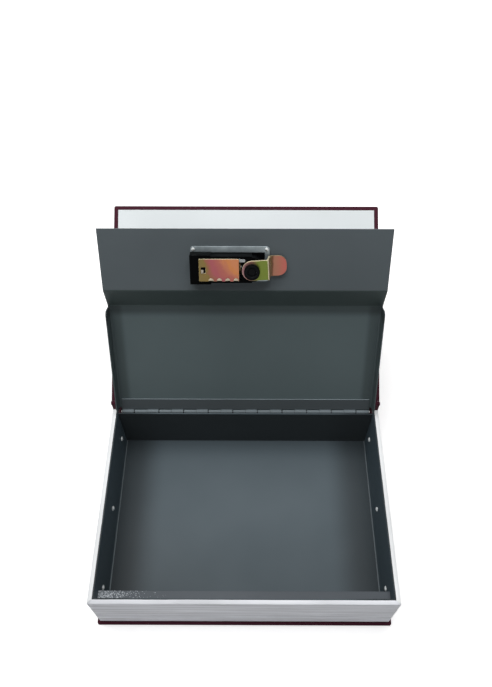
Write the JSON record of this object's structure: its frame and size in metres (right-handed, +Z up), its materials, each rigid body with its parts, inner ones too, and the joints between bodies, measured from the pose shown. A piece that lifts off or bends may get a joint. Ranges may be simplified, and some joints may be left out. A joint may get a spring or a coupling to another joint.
{
  "type": "book diversion safe",
  "caption": "Steel cash tray with a hinged, combination-locked lid, hidden inside a clothbound hollow book whose front cover lifts clear.",
  "frame": {"origin": "centre of the closed book's underside, on the surface it lies on", "axes": "+X towards the right-hand end seen from the fore edge, +Y towards the spine, +Z up"},
  "size_m": [0.265, 0.3722, 0.2228],
  "materials": {
    "book_cloth": "maroon book cloth over board, fine grain",
    "endpaper": "smooth white paper",
    "greyboard": "plain grey board",
    "page_edge": "satin silvery white with fine page lines",
    "grey_paint": "semi-gloss powder coat with a light orange peel",
    "ledge_paint": "semi-gloss powder coat with a light orange peel",
    "bright_steel": "bright zinc plating",
    "zinc_plate": "grey zinc plating",
    "yellow_zinc": "yellow passivated zinc with pink and green tints",
    "black_plastic": "satin moulded plastic",
    "white_plastic": "pale moulded plastic"
  },
  "bodies": {
    "box": {"back_cover_board": "book_cloth", "back_endpaper": "endpaper", "cloth_joint_back": "book_cloth", "cloth_joint_front": "book_cloth", "spine_board": "book_cloth", "spine_liner": "greyboard", "steel_tray": "grey_paint", "page_edge_front": "page_edge", "page_edge_left": "page_edge", "page_edge_right": "page_edge", "front_ledge": "ledge_paint", "hinge_leaf_box": "grey_paint", "hinge_pin": "bright_steel", "rivet_left_rear": "bright_steel", "rivet_left_middle": "bright_steel", "rivet_left_front": "bright_steel", "rivet_right_rear": "bright_steel", "rivet_right_middle": "bright_steel", "rivet_right_front": "bright_steel", "rivet_front_left": "bright_steel", "rivet_front_right": "bright_steel"},
    "lid": {"lid_panel": "grey_paint", "hinge_leaf_lid": "grey_paint", "lock_housing": "black_plastic", "lock_end_cap": "black_plastic", "lock_mounting_plate": "zinc_plate", "lock_plate_rivet_left": "bright_steel", "lock_plate_rivet_right": "bright_steel", "lock_back_plate": "yellow_zinc", "locking_pawl": "bright_steel", "wheel_axle": "bright_steel", "detent_comb": "white_plastic", "locking_bar": "zinc_plate"},
    "lock_core": {"lock_knob": "black_plastic", "lock_spindle": "black_plastic", "lock_cam": "yellow_zinc", "cam_washer": "bright_steel", "cam_nut": "black_plastic"},
    "reset": {"reset_tab": "white_plastic"},
    "front_cover": {"front_cover_board": "book_cloth", "front_endpaper": "endpaper"},
    "wheel_1": {"number_wheel_1": "black_plastic", "code_ring_1": "yellow_zinc"},
    "wheel_2": {"number_wheel_2": "black_plastic", "code_ring_2": "yellow_zinc"},
    "wheel_3": {"number_wheel_3": "black_plastic", "code_ring_3": "yellow_zinc"},
    "wheel_4": {"number_wheel_4": "black_plastic", "code_ring_4": "yellow_zinc"}
  },
  "joints": [
    {"name": "lid_hinge", "type": "hinge", "parent": "box", "child": "lid", "pos_m": [0, 0.0906, 0.0581], "axis": [1, 0, 0], "range_deg": [0, 118.48]},
    {"name": "cover_hinge", "type": "hinge", "parent": "box", "child": "front_cover", "pos_m": [0, 0.09825, 0.0614], "axis": [1, 0, 0], "range_deg": [0, 150.5]},
    {"name": "cam_turn", "type": "hinge", "parent": "lid", "child": "lock_core", "pos_m": [0.0059, 0.1536, 0.19537], "axis": [0, -0.8789, 0.4769], "range_deg": [0, 86.5]},
    {"name": "reset_slide", "type": "slide", "parent": "lid", "child": "reset", "axis": [0, 0.4769, 0.8789], "range_m": [0, 0.0025]},
    {"name": "wheel_1_turn", "type": "hinge", "parent": "lid", "child": "wheel_1", "pos_m": [-0.0286, 0.15166, 0.19642], "axis": [1, 0, 0], "continuous": true},
    {"name": "wheel_2_turn", "type": "hinge", "parent": "lid", "child": "wheel_2", "pos_m": [-0.0216, 0.15166, 0.19642], "axis": [1, 0, 0], "continuous": true},
    {"name": "wheel_3_turn", "type": "hinge", "parent": "lid", "child": "wheel_3", "pos_m": [-0.0146, 0.15166, 0.19642], "axis": [1, 0, 0], "continuous": true},
    {"name": "wheel_4_turn", "type": "hinge", "parent": "lid", "child": "wheel_4", "pos_m": [-0.0076, 0.15166, 0.19642], "axis": [1, 0, 0], "continuous": true}
  ],
  "couplings": [
    {"joint": "cover_hinge", "follows": "lid_hinge", "ratio": 1.27}
  ]
}
